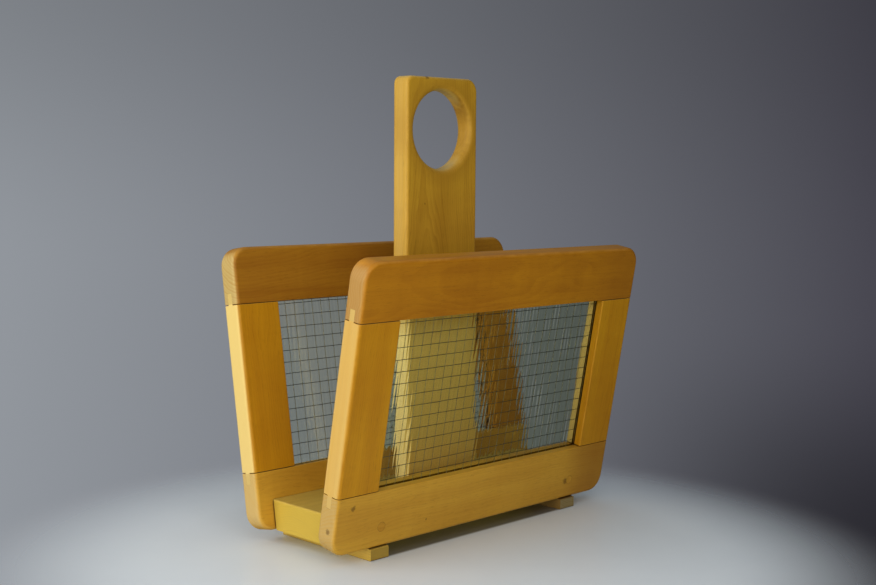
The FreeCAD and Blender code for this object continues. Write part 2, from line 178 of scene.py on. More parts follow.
# paler sapwood and a painted sheen of the window light, on the narrow sides
SAPWOOD_AND_SHEEN = (0.80, 0.59, 0.21)
# painted light on the handle board behind the glass
LIT_BEHIND_GLASS = (0.99, 0.69, 0.19)
LIT_BEHIND_GLASS_SIDE = (1.0, 0.78, 0.33)
TONGUE = (0.58, 0.41, 0.14)
# painted shade towards the right ends of the front rails
RIGHT_END_SHADE = (0.26, 0.085, 0.008)
# darkened by handling, and painted shade round the hand hole
HANDLED_AND_SHADE = (0.36, 0.18, 0.018)
# painted shadow along the hand hole's upper rim
HOLE_RIM_SHADOW = (0.13, 0.055, 0.008)
# dirt with painted shade in the seams and corners
DIRT_AND_SHADE_TONE = (0.070, 0.021, 0.003)
DENT = (0.090, 0.040, 0.010)
END_TONE = (0.54, 0.54, 0.33)

PITH_WANDER, RING_SWAY = 60 * MM, 7 * MM      # how far the rings stray from true circles
YEARLY_STEPS = (0.25, 0.9)                    # darkness of the faintest ring, and how much more others get
RIGHT_SHADE_FROM, RIGHT_SHADE_TO = 100 * MM, 20 * MM  # before the end of a rail
BEHIND_GLASS_TOP = 235 * MM                        # height up to which the handle board stands behind glass
BEHIND_GLASS_FADE = (20 * MM, -30 * MM)            # round that height, from the wood's own tone to the painted light
HOLLOW_REACH = 4 * MM
VARNISH_ROUGHNESS, VARNISH_IOR = 0.40, 1.45
VARNISH_TINT = (1.0, 0.93, 0.78)


class Wood(Shader):
    """Varnished wood whose fibres run along the axis grain ("X", "Y" or "Z") of a piece.

    side is FRONT or REAR for a piece of a leaning frame. seed sets which part of the tree it shows."""

    def __init__(self, node, grain, seed, side):
        super().__init__(bpy.data.materials.new(f"wood_{node}"))
        self.side = side
        self.low, self.high = box_in_axes(points_of(node), upright_axes(side))
        self.place = self.upright(self.node("ShaderNodeTexCoord").outputs["Object"])
        normal = self.upright(self.node("ShaderNodeNewGeometry").outputs["Normal"])
        x, y, z = self.parts(self.place)
        self.x, self.y, self.z = x, y, z
        self.normal = dict(zip("XYZ", self.parts(normal)))
        self.grain = grain
        along, self.across, self.through = {"X": (x, y, z), "Y": (y, x, z), "Z": (z, x, y)}[grain]
        self.shifted = self.join(self.math("ADD", along, seed * 1.37),
                                 self.math("ADD", self.across, seed * 0.61), self.through)
        self.side_face = self.spread(self.math("ABSOLUTE", self.normal["X"]), 0.60, 0.97)
        self.paled_and_lit = 0.0

    def upright(self, vector):
        """Turns a vector into the axes of the piece's frame."""
        if not self.side:
            return vector
        turn = {"Vector": vector, "Center": (0, 0, 0), "Angle": self.side * SPLAY}
        return self.node("ShaderNodeVectorRotate", turn, rotation_type="X_AXIS").outputs[0]

    def stretched(self, length_scale, width_scale, detail=2.0, roughness=0.5):
        """Noise drawn out along the fibres."""
        return self.noise(self.scaled(self.shifted, (length_scale, width_scale, width_scale)),
                          1.0, detail, roughness)

    def centred(self, value, factor, middle=0.5):
        return self.times(self.math("SUBTRACT", value, middle), factor)

    def tint(self, share, colour):
        """Mixes a colour over the wood so far."""
        self.colour = self.mix(share, self.colour, colour)

    def grow_rings(self, pith, gap):
        """Dark late wood of the growth rings, round a pith that wanders slowly along the tree."""
        wander = self.centred(self.stretched(2.2, 7.0, 3.0, 0.5), PITH_WANDER)
        sway = self.centred(self.stretched(12.0, 40.0, 2.0), RING_SWAY)
        from_pith = self.join(self.math("SUBTRACT", self.across, pith[0]),
                              self.math("SUBTRACT", self.through, pith[1]), 0.0)
        radius = self.math("ADD", self.vector_math("LENGTH", from_pith), self.math("ADD", wander, sway))
        turns = self.times(radius, 1.0 / gap)
        ring = self.math("FRACT", turns)
        year = {"W": self.math("FLOOR", turns)}
        year_tone = self.node("ShaderNodeTexWhiteNoise", year, noise_dimensions="1D").outputs["Value"]
        late = self.times(self.spread(ring, 0.10, 0.88), self.spread(ring, 1.0, 0.88))
        faintest, range_of_years = YEARLY_STEPS
        self.late = self.times(late, self.times_add(year_tone, range_of_years, faintest))

    def colour_fibres(self, light, dark, ring_strength, shade):
        """The wood's own colours: rings, fibres, short ray flecks and slow changes of tone."""
        self.fibres = self.stretched(8.0, 700.0, 3.0, 0.6)
        self.streaks = self.stretched(1.3, 60.0, 4.0, 0.6)
        self.flecks = self.spread(self.stretched(120.0, 1300.0, 1.0), 0.60, 0.72)
        blotch = self.noise(self.scaled(self.shifted, (6.0, 14.0, 14.0)), 1.0, 3.0, 0.5)
        ripple = self.stretched(70.0, 12.0, 2.0)
        depth = self.times(self.late, ring_strength)
        depth = self.times_add(self.math("SUBTRACT", self.fibres, 0.5), 0.30, depth)
        depth = self.times_add(self.math("SUBTRACT", self.streaks, 0.5), 0.90, depth)
        depth = self.times_add(self.math("SUBTRACT", blotch, 0.45), 0.95, depth)
        depth = self.times_add(self.math("SUBTRACT", ripple, 0.5), 0.22, depth)
        depth = self.math("ADD", depth, 0.34 + shade, clamp=True)
        self.colour = self.mix(depth, rgb(*light), rgb(*dark))
        self.tint(self.times(self.flecks, 0.22), rgb(*[c * 0.45 for c in dark]))

    def pale_sides_and_sheen(self, amount, only_lit_inside):
        """Narrow sides paler, partly sapwood and partly a painted sheen of the window light; or, as
        painted light, only the rear half of the side that faces -X, the part behind the glass.
        """
        share = self.times_add(self.math("SUBTRACT", self.streaks, 0.5), 0.8, amount)
        if only_lit_inside:
            middle = (self.low[1] + self.high[1]) / 2
            rear_half = self.spread(self.y, middle - 1 * MM, middle + 1 * MM)
            share = self.times(share, self.times(rear_half, self.spread(self.normal["X"], 0.0, -0.5)))
        self.paled_and_lit = self.times(self.side_face, share, clamp=True)
        self.tint(self.paled_and_lit, rgb(*SAPWOOD_AND_SHEEN))

    def stain_tongues(self):
        """The tongues at a stile's ends, which share the tone of the rails' end grain."""
        name = SIDE_NAMES[self.side]
        axes = upright_axes(self.side)
        top_seam = box_in_axes(points_of(f"{name}_top_rail"), axes)[0][2]
        low_seam = box_in_axes(points_of(f"{name}_bottom_rail"), axes)[1][2]
        past_seam = self.math("MAXIMUM", self.spread(self.z, top_seam, top_seam + 0.5 * MM),
                              self.spread(self.z, low_seam, low_seam - 0.5 * MM))
        self.tint(self.times(past_seam, 0.70), rgb(*TONGUE))

    def shade_right_end(self, amount):
        """Painted shade: the last stretch of a rail towards +X darker, as the light falls off away from
        the window.
        """
        right_part = self.spread(self.x, self.high[0] - RIGHT_SHADE_FROM, self.high[0] - RIGHT_SHADE_TO)
        self.tint(self.times(right_part, amount), rgb(*RIGHT_END_SHADE))

    def light_behind_glass(self, height):
        """Painted light on the part that stands behind the glass: lighter and yellower, as if lit by light
        that the panes throw onto it.
        """
        behind_glass = self.spread(self.z, height + BEHIND_GLASS_FADE[0], height + BEHIND_GLASS_FADE[1])
        lit_tone = self.mix(self.side_face, rgb(*LIT_BEHIND_GLASS), rgb(*LIT_BEHIND_GLASS_SIDE))
        share = self.times_add(self.side_face, 0.15, 0.80)
        self.tint(self.times(behind_glass, share), lit_tone)

    def darken_round_hole(self, share_x, share_z, radius):
        """A ring round the hand hole, darkened by handling and by painted shade, and a painted shadow
        along the hole's upper rim.
        """
        hold = (self.low[0] + share_x * (self.high[0] - self.low[0]), 0.0,
                self.low[2] + share_z * (self.high[2] - self.low[2]))
        from_hold = self.vector_math("DISTANCE", self.join(self.x, 0.0, self.z), hold)
        near_hole = self.spread(from_hold, radius + 26 * MM, radius + 3 * MM)
        self.tint(self.times(near_hole, 0.52), rgb(*HANDLED_AND_SHADE))
        rim = self.times(self.spread(from_hold, radius - 2 * MM, radius),
                         self.spread(from_hold, radius + 3 * MM, radius + 0.5 * MM))
        upper = self.spread(self.z, hold[2], hold[2] + 0.8 * radius)
        self.tint(self.times(self.times(rim, upper), 0.65), rgb(*HOLE_RIM_SHADOW))

    def show_end_grain(self, light, dark, end_tone, dull):
        """End grain, paler and greyer, with the rings as arcs."""
        end = self.spread(self.math("ABSOLUTE", self.normal[self.grain]), 0.55, 0.9)
        dots = self.noise(self.scaled(self.shifted, (30.0, 1400.0, 1400.0)), 1.0, 2.0)
        pale = [0.55 * c + 0.45 * grey for c, grey in zip(light, end_tone)]
        ring_tone = [0.5 * (a + b) for a, b in zip(light, dark)]
        end_colour = self.mix(self.times_add(self.late, 0.35, self.times(dots, 0.35)),
                              rgb(*pale), rgb(*ring_tone))
        end_colour = self.mix(dull, end_colour, rgb(*[c * 0.6 for c in dark]))
        self.tint(self.times(end, 0.80), end_colour)

    def wear_edges(self, light):
        """Varnish worn paler along the rounded edges."""
        facing = [self.math("ABSOLUTE", self.normal[axis]) for axis in "XYZ"]
        squareness = self.math("MAXIMUM", facing[0], self.math("MAXIMUM", facing[1], facing[2]))
        edge = self.spread(squareness, 0.985, 0.80)
        rubbed = self.spread(self.noise(self.shifted, 55.0, 3.0, 0.6), 0.42, 0.68)
        self.wear = self.times(edge, self.times_add(rubbed, 0.28, 0.06))
        self.tint(self.wear, rgb(*[min(1.0, c * 1.10 + 0.04) for c in light]))

    def darken_hollows(self):
        """Dirt and painted shade in the seams and corners, darker where the surface is hemmed in."""
        hollow = self.node("ShaderNodeAmbientOcclusion", {"Distance": HOLLOW_REACH}, samples=8).outputs["AO"]
        self.dirt_and_shade = self.times(self.spread(hollow, 0.72, 0.32), self.times_add(self.paled_and_lit, -0.65, 0.85))
        self.tint(self.dirt_and_shade, rgb(*DIRT_AND_SHADE_TONE))

    def dent(self, marks):
        """Small dark dents, each given as three shares of the piece's own box and a radius."""
        self.dent_depth = 0.0
        for share_x, share_y, share_z, radius in marks:
            shares = (share_x, share_y, share_z)
            centre = [a + share * (b - a) for a, b, share in zip(self.low, self.high, shares)]
            away = self.vector_math("DISTANCE", self.place, tuple(centre))
            uneven = self.math("SUBTRACT", self.noise(self.shifted, 420.0, 2.0), 0.5)
            uneven = self.times_add(uneven, 1.6 * radius, away)
            spot = self.spread(uneven, 1.25 * radius, 0.45 * radius)
            self.tint(self.times(spot, 0.60), rgb(*DENT))
            self.dent_depth = self.math("ADD", self.times(spot, 0.5), self.dent_depth)

    def varnish(self):
        """The varnished surface over the colours, with fine pores and broad waves."""
        relief = self.times_add(self.fibres, 0.30, self.times(self.late, -0.18))
        relief = self.times_add(self.flecks, -0.35, relief)
        relief = self.times_add(self.dent_depth, -2.0, relief)
        fine = self.bump(0.30, 0.22 * MM, relief)
        broad = self.bump(0.5, 1.0 * MM, self.noise(self.shifted, 26.0, 2.0), fine)
        gloss = self.times_add(self.noise(self.shifted, 34.0, 4.0, 0.6), 0.26,
                              VARNISH_ROUGHNESS - 0.13)
        gloss = self.times_add(self.wear, 0.22, gloss)
        gloss = self.times_add(self.dirt_and_shade, 0.3, gloss)
        return self.finish(self.node("ShaderNodeBsdfPrincipled", {
            "Base Color": self.colour, "Roughness": gloss, "Normal": broad,
            "IOR": VARNISH_IOR, "Specular IOR Level": 0.30, "Specular Tint": rgb(*VARNISH_TINT)}))


def dress(node, grain, colours, seed, pith, ring_gap, side=0, ring_strength=0.16, shade=0.0,
          pale_edge=0.0, pale_lit_inside=False, tongues=False, right_end_shade=0.0, lit_below=0.0, hole_darkening=None,
          end_dull=0.0, end_tone=END_TONE, marks=()):
    """Gives one wooden piece its own material. pith is where the heart of the tree lay, across the
    fibres from the piece's axes, and shade darkens the whole piece a little."""
    light, dark = colours
    wood = Wood(node, grain, seed, side)
    wood.grow_rings(pith, ring_gap)
    wood.colour_fibres(light, dark, ring_strength, shade)
    if pale_edge:
        wood.pale_sides_and_sheen(pale_edge, pale_lit_inside)
    if tongues:
        wood.stain_tongues()
    if right_end_shade:
        wood.shade_right_end(right_end_shade)
    if lit_below:
        wood.light_behind_glass(lit_below)
    if hole_darkening:
        wood.darken_round_hole(*hole_darkening)
    wood.show_end_grain(light, dark, end_tone, end_dull)
    wood.wear_edges(light)
    wood.darken_hollows()
    wood.dent(marks)
    set_material(nodes[node], wood.varnish())


# light and dark wood of each kind of piece
RAIL = ((0.56, 0.245, 0.011), (0.33, 0.116, 0.006))
HAZEL = ((0.54, 0.265, 0.020), (0.32, 0.125, 0.010))
STILE = ((0.62, 0.305, 0.010), (0.40, 0.150, 0.005))
BOARD = ((0.63, 0.365, 0.034), (0.39, 0.195, 0.015))
LOW = ((0.71, 0.410, 0.044), (0.48, 0.226, 0.020))
BASE = ((0.62, 0.445, 0.085), (0.40, 0.255, 0.045))
FOOT = ((0.80, 0.560, 0.105), (0.48, 0.300, 0.042))
# painted shade: the right foot stands in the base's shadow, so its wood is a darker copy of the feet's
PAINTED_SHADE_FOOT = ((0.27, 0.165, 0.045), (0.15, 0.084, 0.020))


def dress_rails():
    dress("front_top_rail", "X", RAIL, 1.0, pith=(-0.16, 0.30), ring_gap=3.1 * MM, side=FRONT,
          shade=0.10, right_end_shade=0.30, end_dull=0.28)
    dress("front_bottom_rail", "X", LOW, 2.0, pith=(-0.10, -0.02), ring_gap=2.8 * MM, side=FRONT,
          right_end_shade=0.60, end_dull=0.20, end_tone=(0.37, 0.46, 0.38),
          marks=((0.052, 0.0, 0.80, 3.2 * MM), (0.833, 0.0, 0.36, 4.0 * MM),
                 (0.0, 0.36, 0.42, 3.0 * MM), (0.30, 0.0, 0.30, 1.2 * MM)))
    dress("rear_top_rail", "X", HAZEL, 5.0, pith=(0.02, 0.33), ring_gap=2.9 * MM, side=REAR,
          shade=0.30, end_tone=(0.72, 0.80, 0.46))
    dress("rear_bottom_rail", "X", LOW, 6.0, pith=(0.10, 0.01), ring_gap=2.6 * MM, side=REAR,
          end_tone=(0.48, 0.55, 0.44))


def dress_stiles():
    dress("front_left_stile", "Z", STILE, 3.0, pith=(-0.24, -0.11), ring_gap=2.4 * MM, side=FRONT,
          pale_edge=0.48, tongues=True)
    # painted light: the rear half of the inner side, behind the glass, paler as if lit; its shade is
    # painted shade, as the light falls off towards +X
    dress("front_right_stile", "Z", STILE, 4.0, pith=(0.23, -0.12), ring_gap=2.7 * MM, side=FRONT,
          shade=0.05, pale_edge=1.25, pale_lit_inside=True)
    dress("rear_left_stile", "Z", STILE, 7.0, pith=(-0.15, 0.02), ring_gap=2.5 * MM, side=REAR,
          pale_edge=1.05, tongues=True)
    # painted shade: the rear right stile stands in shade
    dress("rear_right_stile", "Z", STILE, 8.0, pith=(0.15, 0.02), ring_gap=2.8 * MM, side=REAR,
          shade=0.20)


def dress_boards():
    dress("handle_board", "Z", BOARD, 9.0, pith=(-0.03, -0.055), ring_gap=2.7 * MM,
          ring_strength=0.28, pale_edge=0.15, lit_below=BEHIND_GLASS_TOP, hole_darkening=(0.487, 0.875, 42.8 * MM),
          marks=((0.265, 0.06, 0.997, 3.2 * MM), (0.745, 0.15, 0.815, 1.6 * MM),
                 (0.25, 0.0, 0.70, 1.0 * MM)))
    dress("base_board", "X", BASE, 10.0, pith=(0.01, -0.05), ring_gap=3.0 * MM,
          end_tone=(0.66, 0.44, 0.01))


def dress_feet():
    dress("left_foot", "Y", FOOT, 11.0, pith=(-0.16, -0.04), ring_gap=2.2 * MM, end_dull=0.95)
    # painted shade on the right foot's sides, its end grain kept lighter
    dress("right_foot", "Y", PAINTED_SHADE_FOOT, 12.0, pith=(0.16, 0.05), ring_gap=2.4 * MM, end_dull=0.25)


def dress_plugs():
    dress("front_screw_plugs", "X", LOW, 13.0, pith=(-0.05, 0.03), ring_gap=1.8 * MM, side=FRONT,
          shade=0.30)
    dress("rear_screw_plugs", "X", LOW, 14.0, pith=(0.05, 0.03), ring_gap=1.8 * MM, side=REAR,
          shade=0.30)


def set_material(piece, material):
    piece.data.materials.clear()
    piece.data.materials.append(material)
    piece.data.polygons.foreach_set("material_index", [0] * len(piece.data.polygons))


# ---------------------------------------------------------------- metal

SCREW_STEEL = (0.42, 0.39, 0.34)
# painted shade: the level wires a darker copy of the upright wires' steel
LEVEL_WIRE_SHADED_STEEL = (0.13, 0.13, 0.12)
UPRIGHT_WIRE_STEEL = (0.42, 0.38, 0.25)


def steel(name, colour, roughness, seed):
    """Drawn wire or a plain screw: fine scratches, dull spots and a little tarnish."""
    metal = Shader(bpy.data.materials.new(name))
    place = metal.node("ShaderNodeTexCoord").outputs["Object"]
    shifted = metal.vector_math("ADD", place, (seed, seed, seed))
    spots = metal.spread(metal.noise(shifted, 300.0, 3.0, 0.6), 0.40, 0.70)
    tone = metal.mix(metal.times(spots, 0.6), rgb(*colour), rgb(*[c * 0.45 for c in colour]))
    scratch = metal.noise(metal.scaled(shifted, (2500.0, 2500.0, 400.0)), 1.0, 2.0)
    return metal.finish(metal.node("ShaderNodeBsdfPrincipled", {
        "Base Color": tone, "Metallic": 0.9, "Normal": metal.bump(0.2, 0.05 * MM, scratch),
        "Roughness": metal.times_add(spots, 0.2, roughness)}))


def dress_screws():
    for node in ("front_frame_screws", "rear_frame_screws", "foot_screws", "handle_screws"):
        set_material(nodes[node], steel(f"steel_{node}", SCREW_STEEL, 0.38, 1.0))


# ---------------------------------------------------------------- wired glass

RIPPLE_SLOPE = 0.020               # typical tilt of the cast face, as rise over run
RIPPLE_WAVES = 60
RIPPLE_ACROSS = (3 * MM, 8 * MM)   # shortest and longest wave across the pane
RIPPLE_UP = (40 * MM, 400 * MM)    # and up it
RIPPLE_DEEPEST = 0.4 * MM
PANE_STEP_ACROSS = 0.65 * MM       # spacing of the points across the pane
PANE_STEP_UP = 4.5 * MM            # and up it
PANE_SEED, WIRE_SEED = 20, 50      # first seeds of the ripples and of the wires' drift
WIRE_STEP = 9 * MM                 # spacing of the points along a wire
WIRE_DRIFT, WIRE_DRIFT_LIMIT = 0.10 * MM, 0.45 * MM
WIRE_END_GAP = 0.5 * MM
GLASS_IOR = 1.52
GLASS_TINTS = ((0.900, 0.924, 0.846), (0.912, 0.932, 0.862))
SHADOW_TINT = (0.99, 0.99, 0.95)


def glass(name, seed):
    """Cast glass with a faint yellow-green tint. Light for shading passes straight through it."""
    pane = Shader(bpy.data.materials.new(name))
    place = pane.node("ShaderNodeTexCoord").outputs["Object"]
    shifted = pane.vector_math("ADD", place, (seed, 0.0, seed))
    cast = pane.noise(pane.scaled(shifted, (260.0, 260.0, 45.0)), 1.0, 2.0)
    haze = pane.spread(pane.noise(shifted, 25.0, 4.0, 0.6), 0.45, 0.8)
    tint = pane.mix(pane.noise(shifted, 9.0, 2.0), rgb(*GLASS_TINTS[0]), rgb(*GLASS_TINTS[1]))
    body = pane.node("ShaderNodeBsdfGlass", {
        "Color": tint, "IOR": GLASS_IOR, "Normal": pane.bump(0.10, 0.25 * MM, cast),
        "Roughness": pane.times(haze, 0.02)})
    glancing = pane.node("ShaderNodeFresnel", {"IOR": GLASS_IOR}).outputs[0]
    dimming = pane.mix(glancing, rgb(*SHADOW_TINT), rgb(0, 0, 0))
    passing = pane.node("ShaderNodeBsdfTransparent", {"Color": dimming})
    is_shadow = pane.node("ShaderNodeLightPath").outputs["Is Shadow Ray"]
    return pane.finish(pane.blend(is_shadow, body, passing))


def ripples(seed):
    """A smooth random relief, a sum of waves that are short across the pane and long up it."""
    draw = np.random.default_rng(seed)
    across = 2 * math.pi / draw.uniform(*RIPPLE_ACROSS, RIPPLE_WAVES)
    upward = 2 * math.pi / draw.uniform(*RIPPLE_UP, RIPPLE_WAVES)
    upward *= draw.choice([-1.0, 1.0], RIPPLE_WAVES)
    phase = draw.uniform(0, 2 * math.pi, RIPPLE_WAVES)
    height = RIPPLE_SLOPE * math.sqrt(2 / RIPPLE_WAVES) / across

    def relief(x, z):
        waves = np.sin(np.multiply.outer(x, across) + np.multiply.outer(z, upward) + phase)
        return waves @ height

    return relief


def slab_polygons(columns, rows):
    """The faces of a slab whose front and rear are grids of points, listed row by row."""
    per_layer = (columns + 1) * (rows + 1)

    def corner(layer, row, column):
        return layer * per_layer + row * (columns + 1) + column

    polygons = []
    for row in range(rows):
        for column in range(columns):
            ring = [(row, column), (row, column + 1), (row + 1, column + 1), (row + 1, column)]
            polygons.append([corner(0, *place) for place in ring])
            polygons.append([corner(1, *place) for place in reversed(ring)])
    rim = [(0, column) for column in range(columns)] + [(row, columns) for row in range(rows)]
    rim += [(rows, column) for column in range(columns, 0, -1)] + [(row, 0) for row in range(rows, 0, -1)]
    for here, there in zip(rim, rim[1:] + rim[:1]):
        polygons.append([corner(0, *there), corner(0, *here), corner(1, *here), corner(1, *there)])
    return polygons


def make_pane(side):
    """A closed pane whose two faces ripple like cast glass, in the place of the plain one."""
    node = f"{SIDE_NAMES[side]}_wired_glass"
    axes = upright_axes(side)
    low, high = box_in_axes(points_of(node), axes)
    columns = int(round((high[0] - low[0]) / PANE_STEP_ACROSS))
    rows = int(round((high[2] - low[2]) / PANE_STEP_UP))
    x = np.linspace(low[0], high[0], columns + 1)
    z = np.linspace(low[2], high[2], rows + 1)
    grid_x, grid_z = np.meshgrid(x, z)
    faces_y = []
    for layer, flat in enumerate((low[1], high[1])):
        relief = ripples(PANE_SEED + 2 * side + layer)(grid_x.ravel(), grid_z.ravel())
        inward = 1 if layer == 0 else -1
        faces_y.append(flat + inward * np.clip(relief + RIPPLE_DEEPEST / 2, 0, RIPPLE_DEEPEST))
    vertices = np.concatenate([
        np.column_stack((grid_x.ravel(), depth, grid_z.ravel())) for depth in faces_y])
    vertices = vertices @ np.array(axes)
    mesh = bpy.data.meshes.new(node + "_rippled")
    mesh.from_pydata(vertices.tolist(), [], slab_polygons(columns, rows))
    mesh.update()
    pane = add_piece(node + "_rippled", mesh, glass(f"glass_{node}", 3.0 + side))
    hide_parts(node)
    smooth_faces(pane, 30)


def add_piece(name, mesh, material):
    piece = bpy.data.objects.new(name, mesh)
    bpy.context.scene.collection.objects.link(piece)
    mesh.materials.append(material)
    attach(piece, "root")
    return piece


def smooth_faces(piece, degrees):
    """Shades smoothly across edges that turn less than the angle."""
    mesh = piece.data
    mesh.polygons.foreach_set("use_smooth", [True] * len(mesh.polygons))
    mesh.set_sharp_from_angle(angle=math.radians(degrees))


def loose_parts(node):
    """The separate solids of a node, as arrays of points."""
    build = bmesh.new()
    build.from_mesh(nodes[node].data)
    bmesh.ops.remove_doubles(build, verts=build.verts, dist=1e-6)
    left = set(build.verts)
    found = []
    for start in build.verts:
        if start not in left:
            continue
        left.remove(start)
        stack, island = [start], []
        while stack:
            vertex = stack.pop()
            island.append(vertex.co[:])
            for edge in vertex.link_edges:
                other = edge.other_vert(vertex)
                if other in left:
                    left.remove(other)
                    stack.append(other)
        found.append(np.array(island))
    build.free()
    return found


def tube(path, radius, sides=8):
    """Vertices and polygons of a closed tube along a path of points."""
    path = np.array(path)
    tangents = np.gradient(path, axis=0)
    tangents /= np.linalg.norm(tangents, axis=1)[:, None]
    helper = np.array([0.0, 1.0, 0.0])
    first = np.cross(tangents, helper)
    first /= np.linalg.norm(first, axis=1)[:, None]
    second = np.cross(tangents, first)
    angles = np.arange(sides) * 2 * math.pi / sides
    rings = (path[:, None] + radius * (np.cos(angles)[None, :, None] * first[:, None]
                                       + np.sin(angles)[None, :, None] * second[:, None]))
    polygons = []
    for step in range(len(path) - 1):
        for turn in range(sides):
            after = (turn + 1) % sides
            here, ahead = step * sides, (step + 1) * sides
            polygons.append([here + turn, here + after, ahead + after, ahead + turn])
    polygons.append(list(range(sides))[::-1])
    polygons.append([(len(path) - 1) * sides + turn for turn in range(sides)])
    return rings.reshape(-1, 3), polygons


def wandering_path(low, high, run, draw):
    """The middle line of a wire in a box, along the axis with the index run, drifting a little."""
    across = 2 - run
    steps = max(8, int((high[run] - low[run]) / WIRE_STEP))
    path = np.tile((low + high) / 2, (steps + 1, 1))
    path[:, run] = np.linspace(low[run] + WIRE_END_GAP, high[run] - WIRE_END_GAP, steps + 1)
    drift = np.cumsum(draw.normal(0, WIRE_DRIFT, steps + 1))
    drift -= np.linspace(drift[0], drift[-1], steps + 1)
    path[:, across] += np.clip(drift, -WIRE_DRIFT_LIMIT, WIRE_DRIFT_LIMIT)
    return path


def make_mesh_wires(side):
    """Drawn wires that wander a little between their welds, each a closed tube inside the pane. The
    level wires are darker than the upright ones: painted shade, for the dark room that they mirror."""
    node = f"{SIDE_NAMES[side]}_wire_mesh"
    axes = upright_axes(side)
    draw = np.random.default_rng(WIRE_SEED + side)
    vertices, polygons, tones, count = [], [], [], 0
    for wire in loose_parts(node):
        low, high = box_in_axes(wire, axes)
        run = int(np.argmax(high - low))
        radius = (high[1] - low[1]) / 2
        ring_points, ring_polygons = tube(wandering_path(low, high, run, draw), radius)
        vertices.append(ring_points @ np.array(axes))
        polygons += [[index + count for index in polygon] for polygon in ring_polygons]
        tones += [1 if run == 2 else 0] * len(ring_polygons)
        count += len(ring_points)
    mesh = bpy.data.meshes.new(node + "_drawn")
    mesh.from_pydata(np.concatenate(vertices).tolist(), [], polygons)
    mesh.update()
    level_shaded_steel = steel(f"level_wire_{node}", LEVEL_WIRE_SHADED_STEEL, 0.40, 2.0)
    wires = add_piece(node + "_drawn", mesh, level_shaded_steel)
    mesh.materials.append(steel(f"upright_wire_{node}", UPRIGHT_WIRE_STEEL, 0.50, 4.0))
    mesh.polygons.foreach_set("material_index", tones)
    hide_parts(node)
    smooth_faces(wires, 50)


# ---------------------------------------------------------------- stage

CAMERA_PLACE = Vector((-1.0628, -1.0288, 0.3962))
CAMERA_TURN = 0.8015               # radians from looking along +Y, towards +X
CAMERA_DROP = 0.0927               # radians below the horizon
CAMERA_ROLL = 0.0143
LENS, SENSOR_WIDTH = 54.65, 36      # millimetres

FLOOR_SOLID, FLOOR_EDGE = 0.28, 0.50   # where the floor starts and ends fading into the backdrop
FLOOR_CENTRE = (-0.08, -0.08)
FLOOR_PAINTS = ((0.74, 0.80, 0.87), (0.79, 0.85, 0.92))
FLOOR_SHADE = (0.13, 0.125, 0.125)     # painted shadow between the feet
AHEAD = Vector((math.sin(CAMERA_TURN), math.cos(CAMERA_TURN), 0))
TO_RIGHT = Vector((math.cos(CAMERA_TURN), -math.sin(CAMERA_TURN), 0))


def make_camera():
    camera = bpy.data.objects.new("camera", bpy.data.cameras.new("camera"))
    bpy.context.scene.collection.objects.link(camera)
    camera.data.lens = LENS
    camera.data.sensor_width = SENSOR_WIDTH
    ahead = (AHEAD * math.cos(CAMERA_DROP) - Vector((0, 0, math.sin(CAMERA_DROP)))).normalized()
    up = TO_RIGHT.cross(ahead)
    right = TO_RIGHT * math.cos(CAMERA_ROLL) + up * math.sin(CAMERA_ROLL)
    up = right.cross(ahead)
    turn = Matrix((right, up, -ahead)).transposed()
    camera.matrix_world = Matrix.Translation(CAMERA_PLACE) @ turn.to_4x4()
    camera.data.clip_start = 0.01
    bpy.context.scene.camera = camera


def between_feet(paint, place):
    """1 on the floor from foot to foot, where the base keeps the light out, and 0 elsewhere."""
    left, right = points_of("left_foot"), points_of("right_foot")
    low = (left[:, 0].mean() - FLOOR_CENTRE[0], left[:, 1].min() - FLOOR_CENTRE[1])
    high = (right[:, 0].mean() - FLOOR_CENTRE[0], right[:, 1].max() - FLOOR_CENTRE[1])
    inside = 1.0
    for value, start, end in zip(paint.parts(place), low, high):
        inside = paint.times(inside, paint.spread(value, start - 1 * MM, start + 5 * MM))
        inside = paint.times(inside, paint.spread(value, end + 1 * MM, end - 5 * MM))
    return inside


def floor_paint():
    """Pale paint that clears towards the floor's edge, with a painted shadow between the feet. Mirrored
    rays pass it by and meet the room.
    """
    paint = Shader(bpy.data.materials.new("floor_paint"))
    place = paint.node("ShaderNodeTexCoord").outputs["Object"]
    tone = paint.mix(paint.noise(place, 14.0, 4.0, 0.6), *[rgb(*tone) for tone in FLOOR_PAINTS])
    tone = paint.mix(between_feet(paint, place), tone, rgb(*FLOOR_SHADE))
    solid = paint.node("ShaderNodeBsdfPrincipled", {
        "Base Color": tone, "Roughness": 0.35,
        "Normal": paint.bump(0.1, 0.2 * MM, paint.noise(place, 400.0, 2.0))})
    clear = paint.node("ShaderNodeBsdfTransparent")
    away = paint.spread(paint.vector_math("LENGTH", place), FLOOR_SOLID, FLOOR_EDGE)
    mirrored = paint.math("MINIMUM", paint.node("ShaderNodeLightPath").outputs["Glossy Depth"], 1.0)
    return paint.finish(paint.blend(paint.math("MAXIMUM", away, mirrored), solid, clear))


def make_floor():
    """A plain pale floor that fades into the backdrop away from the rack."""
    build = bmesh.new()
    bmesh.ops.create_circle(build, cap_ends=True, segments=96, radius=FLOOR_EDGE + 0.02)
    mesh = bpy.data.meshes.new("floor")
    build.to_mesh(mesh)
    build.free()
    floor = bpy.data.objects.new("floor", mesh)
    bpy.context.scene.collection.objects.link(floor)
    floor.location = (*FLOOR_CENTRE, -0.0002)
    mesh.materials.append(floor_paint())


